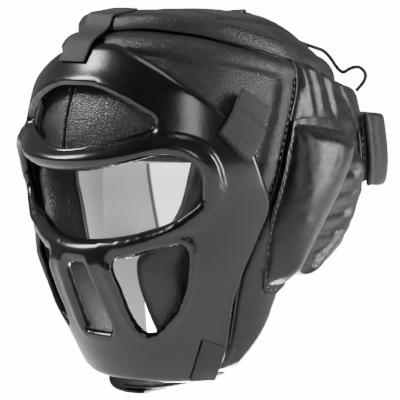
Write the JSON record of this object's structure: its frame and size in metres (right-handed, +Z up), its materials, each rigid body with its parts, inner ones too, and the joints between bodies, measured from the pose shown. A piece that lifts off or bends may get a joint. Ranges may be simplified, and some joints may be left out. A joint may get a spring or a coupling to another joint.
{
  "type": "boxing headgear with face cage",
  "caption": "Padded leather headgear with ear cups, jaw pads, lacing and straps, and a moulded face cage that lifts off its front.",
  "frame": {"origin": "middle of the space that the head fills, level with the eyes' upper edge", "axes": "+Z up, the face looks along -Y, the wearer's left is +X"},
  "size_m": [0.2338, 0.3133, 0.272],
  "materials": {
    "leather": "grained black synthetic leather, satin",
    "strap_leather": "stitched black synthetic leather",
    "lining": "light grey suede-like lining",
    "foam": "closed-cell foam",
    "cage_plastic": "black injection-moulded plastic, satin gloss",
    "webbing": "black woven webbing",
    "hook_loop": "black hook-and-loop fastener",
    "lace_cord": "black braided lace",
    "eyelet_metal": "blackened metal eyelets"
  },
  "bodies": {
    "headgear": {"cheek_cover_left": "leather", "cheek_cover_right": "leather", "cheek_foam_left": "foam", "cheek_foam_right": "foam", "cheek_lining_left": "lining", "cheek_lining_right": "lining", "chin_tab": "strap_leather", "crown_cover": "leather", "crown_foam": "foam", "crown_lace": "lace_cord", "crown_lining": "lining", "ear_cover_left": "leather", "ear_cover_right": "leather", "ear_foam_left": "foam", "ear_foam_right": "foam", "front_cover_left": "leather", "front_cover_right": "leather", "front_foam_left": "foam", "front_foam_right": "foam", "front_lining_left": "lining", "front_lining_right": "lining", "jaw_cover_left": "leather", "jaw_cover_right": "leather", "jaw_foam_left": "foam", "jaw_foam_right": "foam", "jaw_lining_left": "lining", "jaw_lining_right": "lining", "lace_eyelets": "eyelet_metal", "rear_cover_left": "leather", "rear_cover_right": "leather", "rear_foam_left": "foam", "rear_foam_right": "foam", "rear_hook_patch": "hook_loop", "rear_lining_left": "lining", "rear_lining_right": "lining", "rear_strap_anchor": "strap_leather", "side_loop_patch_left": "hook_loop", "side_loop_patch_right": "hook_loop", "top_loop_patch": "hook_loop"},
    "cage": {"face_cage": "cage_plastic", "strap_tongues": "webbing"},
    "top_strap": {"top_strap": "webbing"},
    "side_strap_left": {"side_strap_left": "webbing"},
    "side_strap_right": {"side_strap_right": "webbing"},
    "lower_strap_left": {"lower_strap_left": "webbing"},
    "lower_strap_right": {"lower_strap_right": "webbing"},
    "rear_strap": {"rear_strap": "strap_leather"},
    "chin_strap": {"chin_strap": "strap_leather"}
  },
  "joints": [
    {"name": "cage_lift", "type": "slide", "parent": "headgear", "child": "cage", "axis": [0, -1, 0], "range_m": [0, 0.12]},
    {"name": "top_strap_peel", "type": "hinge", "parent": "cage", "child": "top_strap", "pos_m": [-0.00517, -0.11014, 0.07935], "axis": [0.9982, -0.0598, 0], "range_deg": [0, 100]},
    {"name": "side_strap_left_peel", "type": "hinge", "parent": "cage", "child": "side_strap_left", "pos_m": [0.09723, -0.06562, 0.02041], "axis": [0.3884, 0.59, -0.7079], "range_deg": [0, 100]},
    {"name": "lower_strap_left_peel", "type": "hinge", "parent": "cage", "child": "lower_strap_left", "pos_m": [0.07062, -0.052, -0.1125], "axis": [-0.2991, -0.8811, 0.3664], "range_deg": [0, 100]},
    {"name": "side_strap_right_peel", "type": "hinge", "parent": "cage", "child": "side_strap_right", "pos_m": [-0.09723, -0.06562, 0.02041], "axis": [0.3884, -0.59, 0.7079], "range_deg": [0, 100]},
    {"name": "lower_strap_right_peel", "type": "hinge", "parent": "cage", "child": "lower_strap_right", "pos_m": [-0.07062, -0.052, -0.1125], "axis": [-0.2991, 0.8811, -0.3664], "range_deg": [0, 100]},
    {"name": "rear_strap_open", "type": "hinge", "parent": "headgear", "child": "rear_strap", "pos_m": [-0.04709, 0.13944, 0.0115], "axis": [0, 0, 1], "range_deg": [0, 100]},
    {"name": "chin_strap_open", "type": "hinge", "parent": "headgear", "child": "chin_strap", "pos_m": [-0.04479, -0.024, -0.1455], "axis": [0, 1, 0], "range_deg": [0, 100]}
  ]
}
